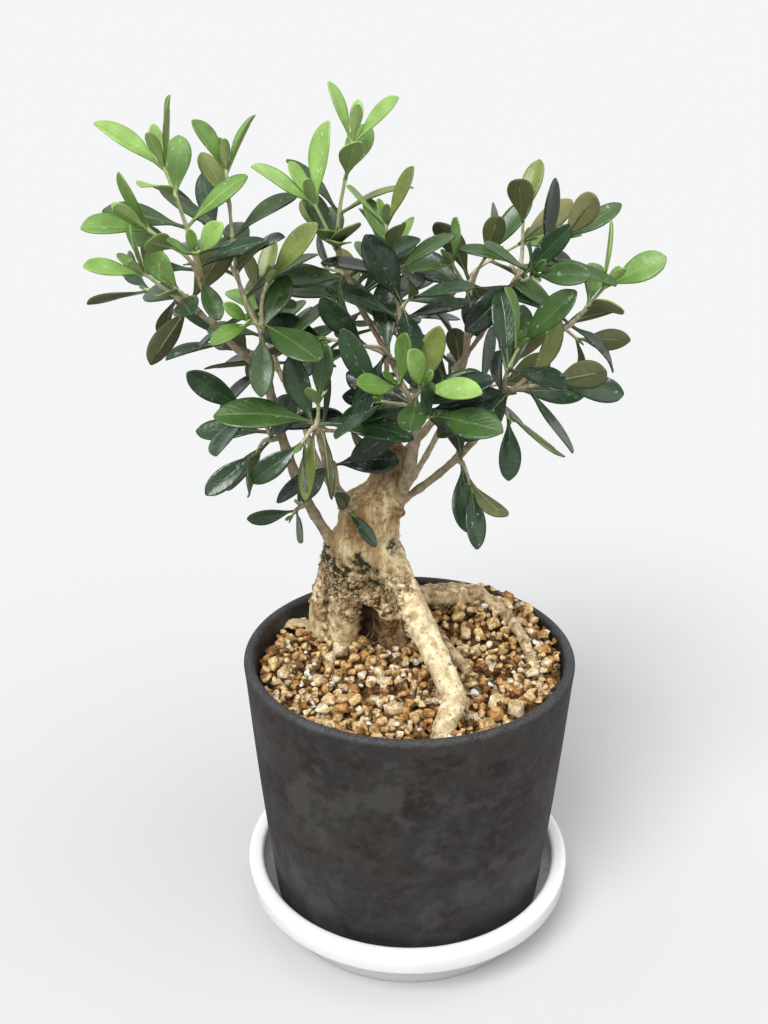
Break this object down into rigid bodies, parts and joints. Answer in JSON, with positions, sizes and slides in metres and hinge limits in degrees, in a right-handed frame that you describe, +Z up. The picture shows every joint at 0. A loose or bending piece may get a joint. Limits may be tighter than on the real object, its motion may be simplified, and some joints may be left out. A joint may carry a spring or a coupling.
{
  "type": "small bonsai-style potted olive tree with bared roots, in a tapered pot on a saucer",
  "caption": "Small bonsai-style olive with a stout leaning trunk, bared surface roots and a loose leafy crown, in a tapered charcoal pot that stands in a white saucer.",
  "frame": {"origin": "centre of the saucer's flat underside, on the pot's axis", "axes": "+Z up, +X to the plant's right seen from its front, -Y to its front"},
  "size_m": [0.1473, 0.1177, 0.2394],
  "materials": {
    "bark": "rough cream and tan bark with brown specks",
    "twig": "smooth grey-tan young bark",
    "leaf": "dark glossy leaf, matt olive underside",
    "young_leaf": "fresh satin leaf",
    "soil": "coarse baked-clay granules",
    "pot": "matt charcoal with faint mottling",
    "saucer": "smooth satin white"
  },
  "bodies": {
    "root": {"saucer": "saucer", "pot": "pot", "soil": "soil", "trunk": "bark", "root_front": "bark", "root_middle": "bark", "root_arch": "bark", "root_arch_end": "bark", "bough_left": "twig", "bough_left_outer": "twig", "bough_left_high": "twig", "bough_left_low": "twig", "bough_left_inner": "twig", "bough_left_front": "twig", "bough_spur": "twig", "bough_centre": "twig", "bough_centre_upper": "twig", "bough_centre_left": "twig", "bough_right_low": "twig", "bough_right_outer": "twig", "bough_back_right": "twig", "bough_right_upper": "twig", "bough_back": "twig", "bough_back_left": "twig", "bough_back_low": "twig", "foliage_left_top": "young_leaf", "foliage_left_outer": "young_leaf", "foliage_left_inner": "leaf", "foliage_left_low": "leaf", "foliage_left_front": "leaf", "foliage_trunk_spur": "leaf", "foliage_trunk_sprig": "leaf", "foliage_left_sprig": "leaf", "foliage_centre_front": "leaf", "foliage_centre_left": "leaf", "foliage_centre_upper": "leaf", "foliage_centre_top": "young_leaf", "foliage_right_low": "leaf", "foliage_right_outer": "young_leaf", "foliage_right_hang": "leaf", "foliage_right_top": "leaf", "foliage_right_upper": "young_leaf", "foliage_back": "leaf", "foliage_back_left": "leaf", "foliage_back_low": "leaf"}
  },
  "joints": []
}
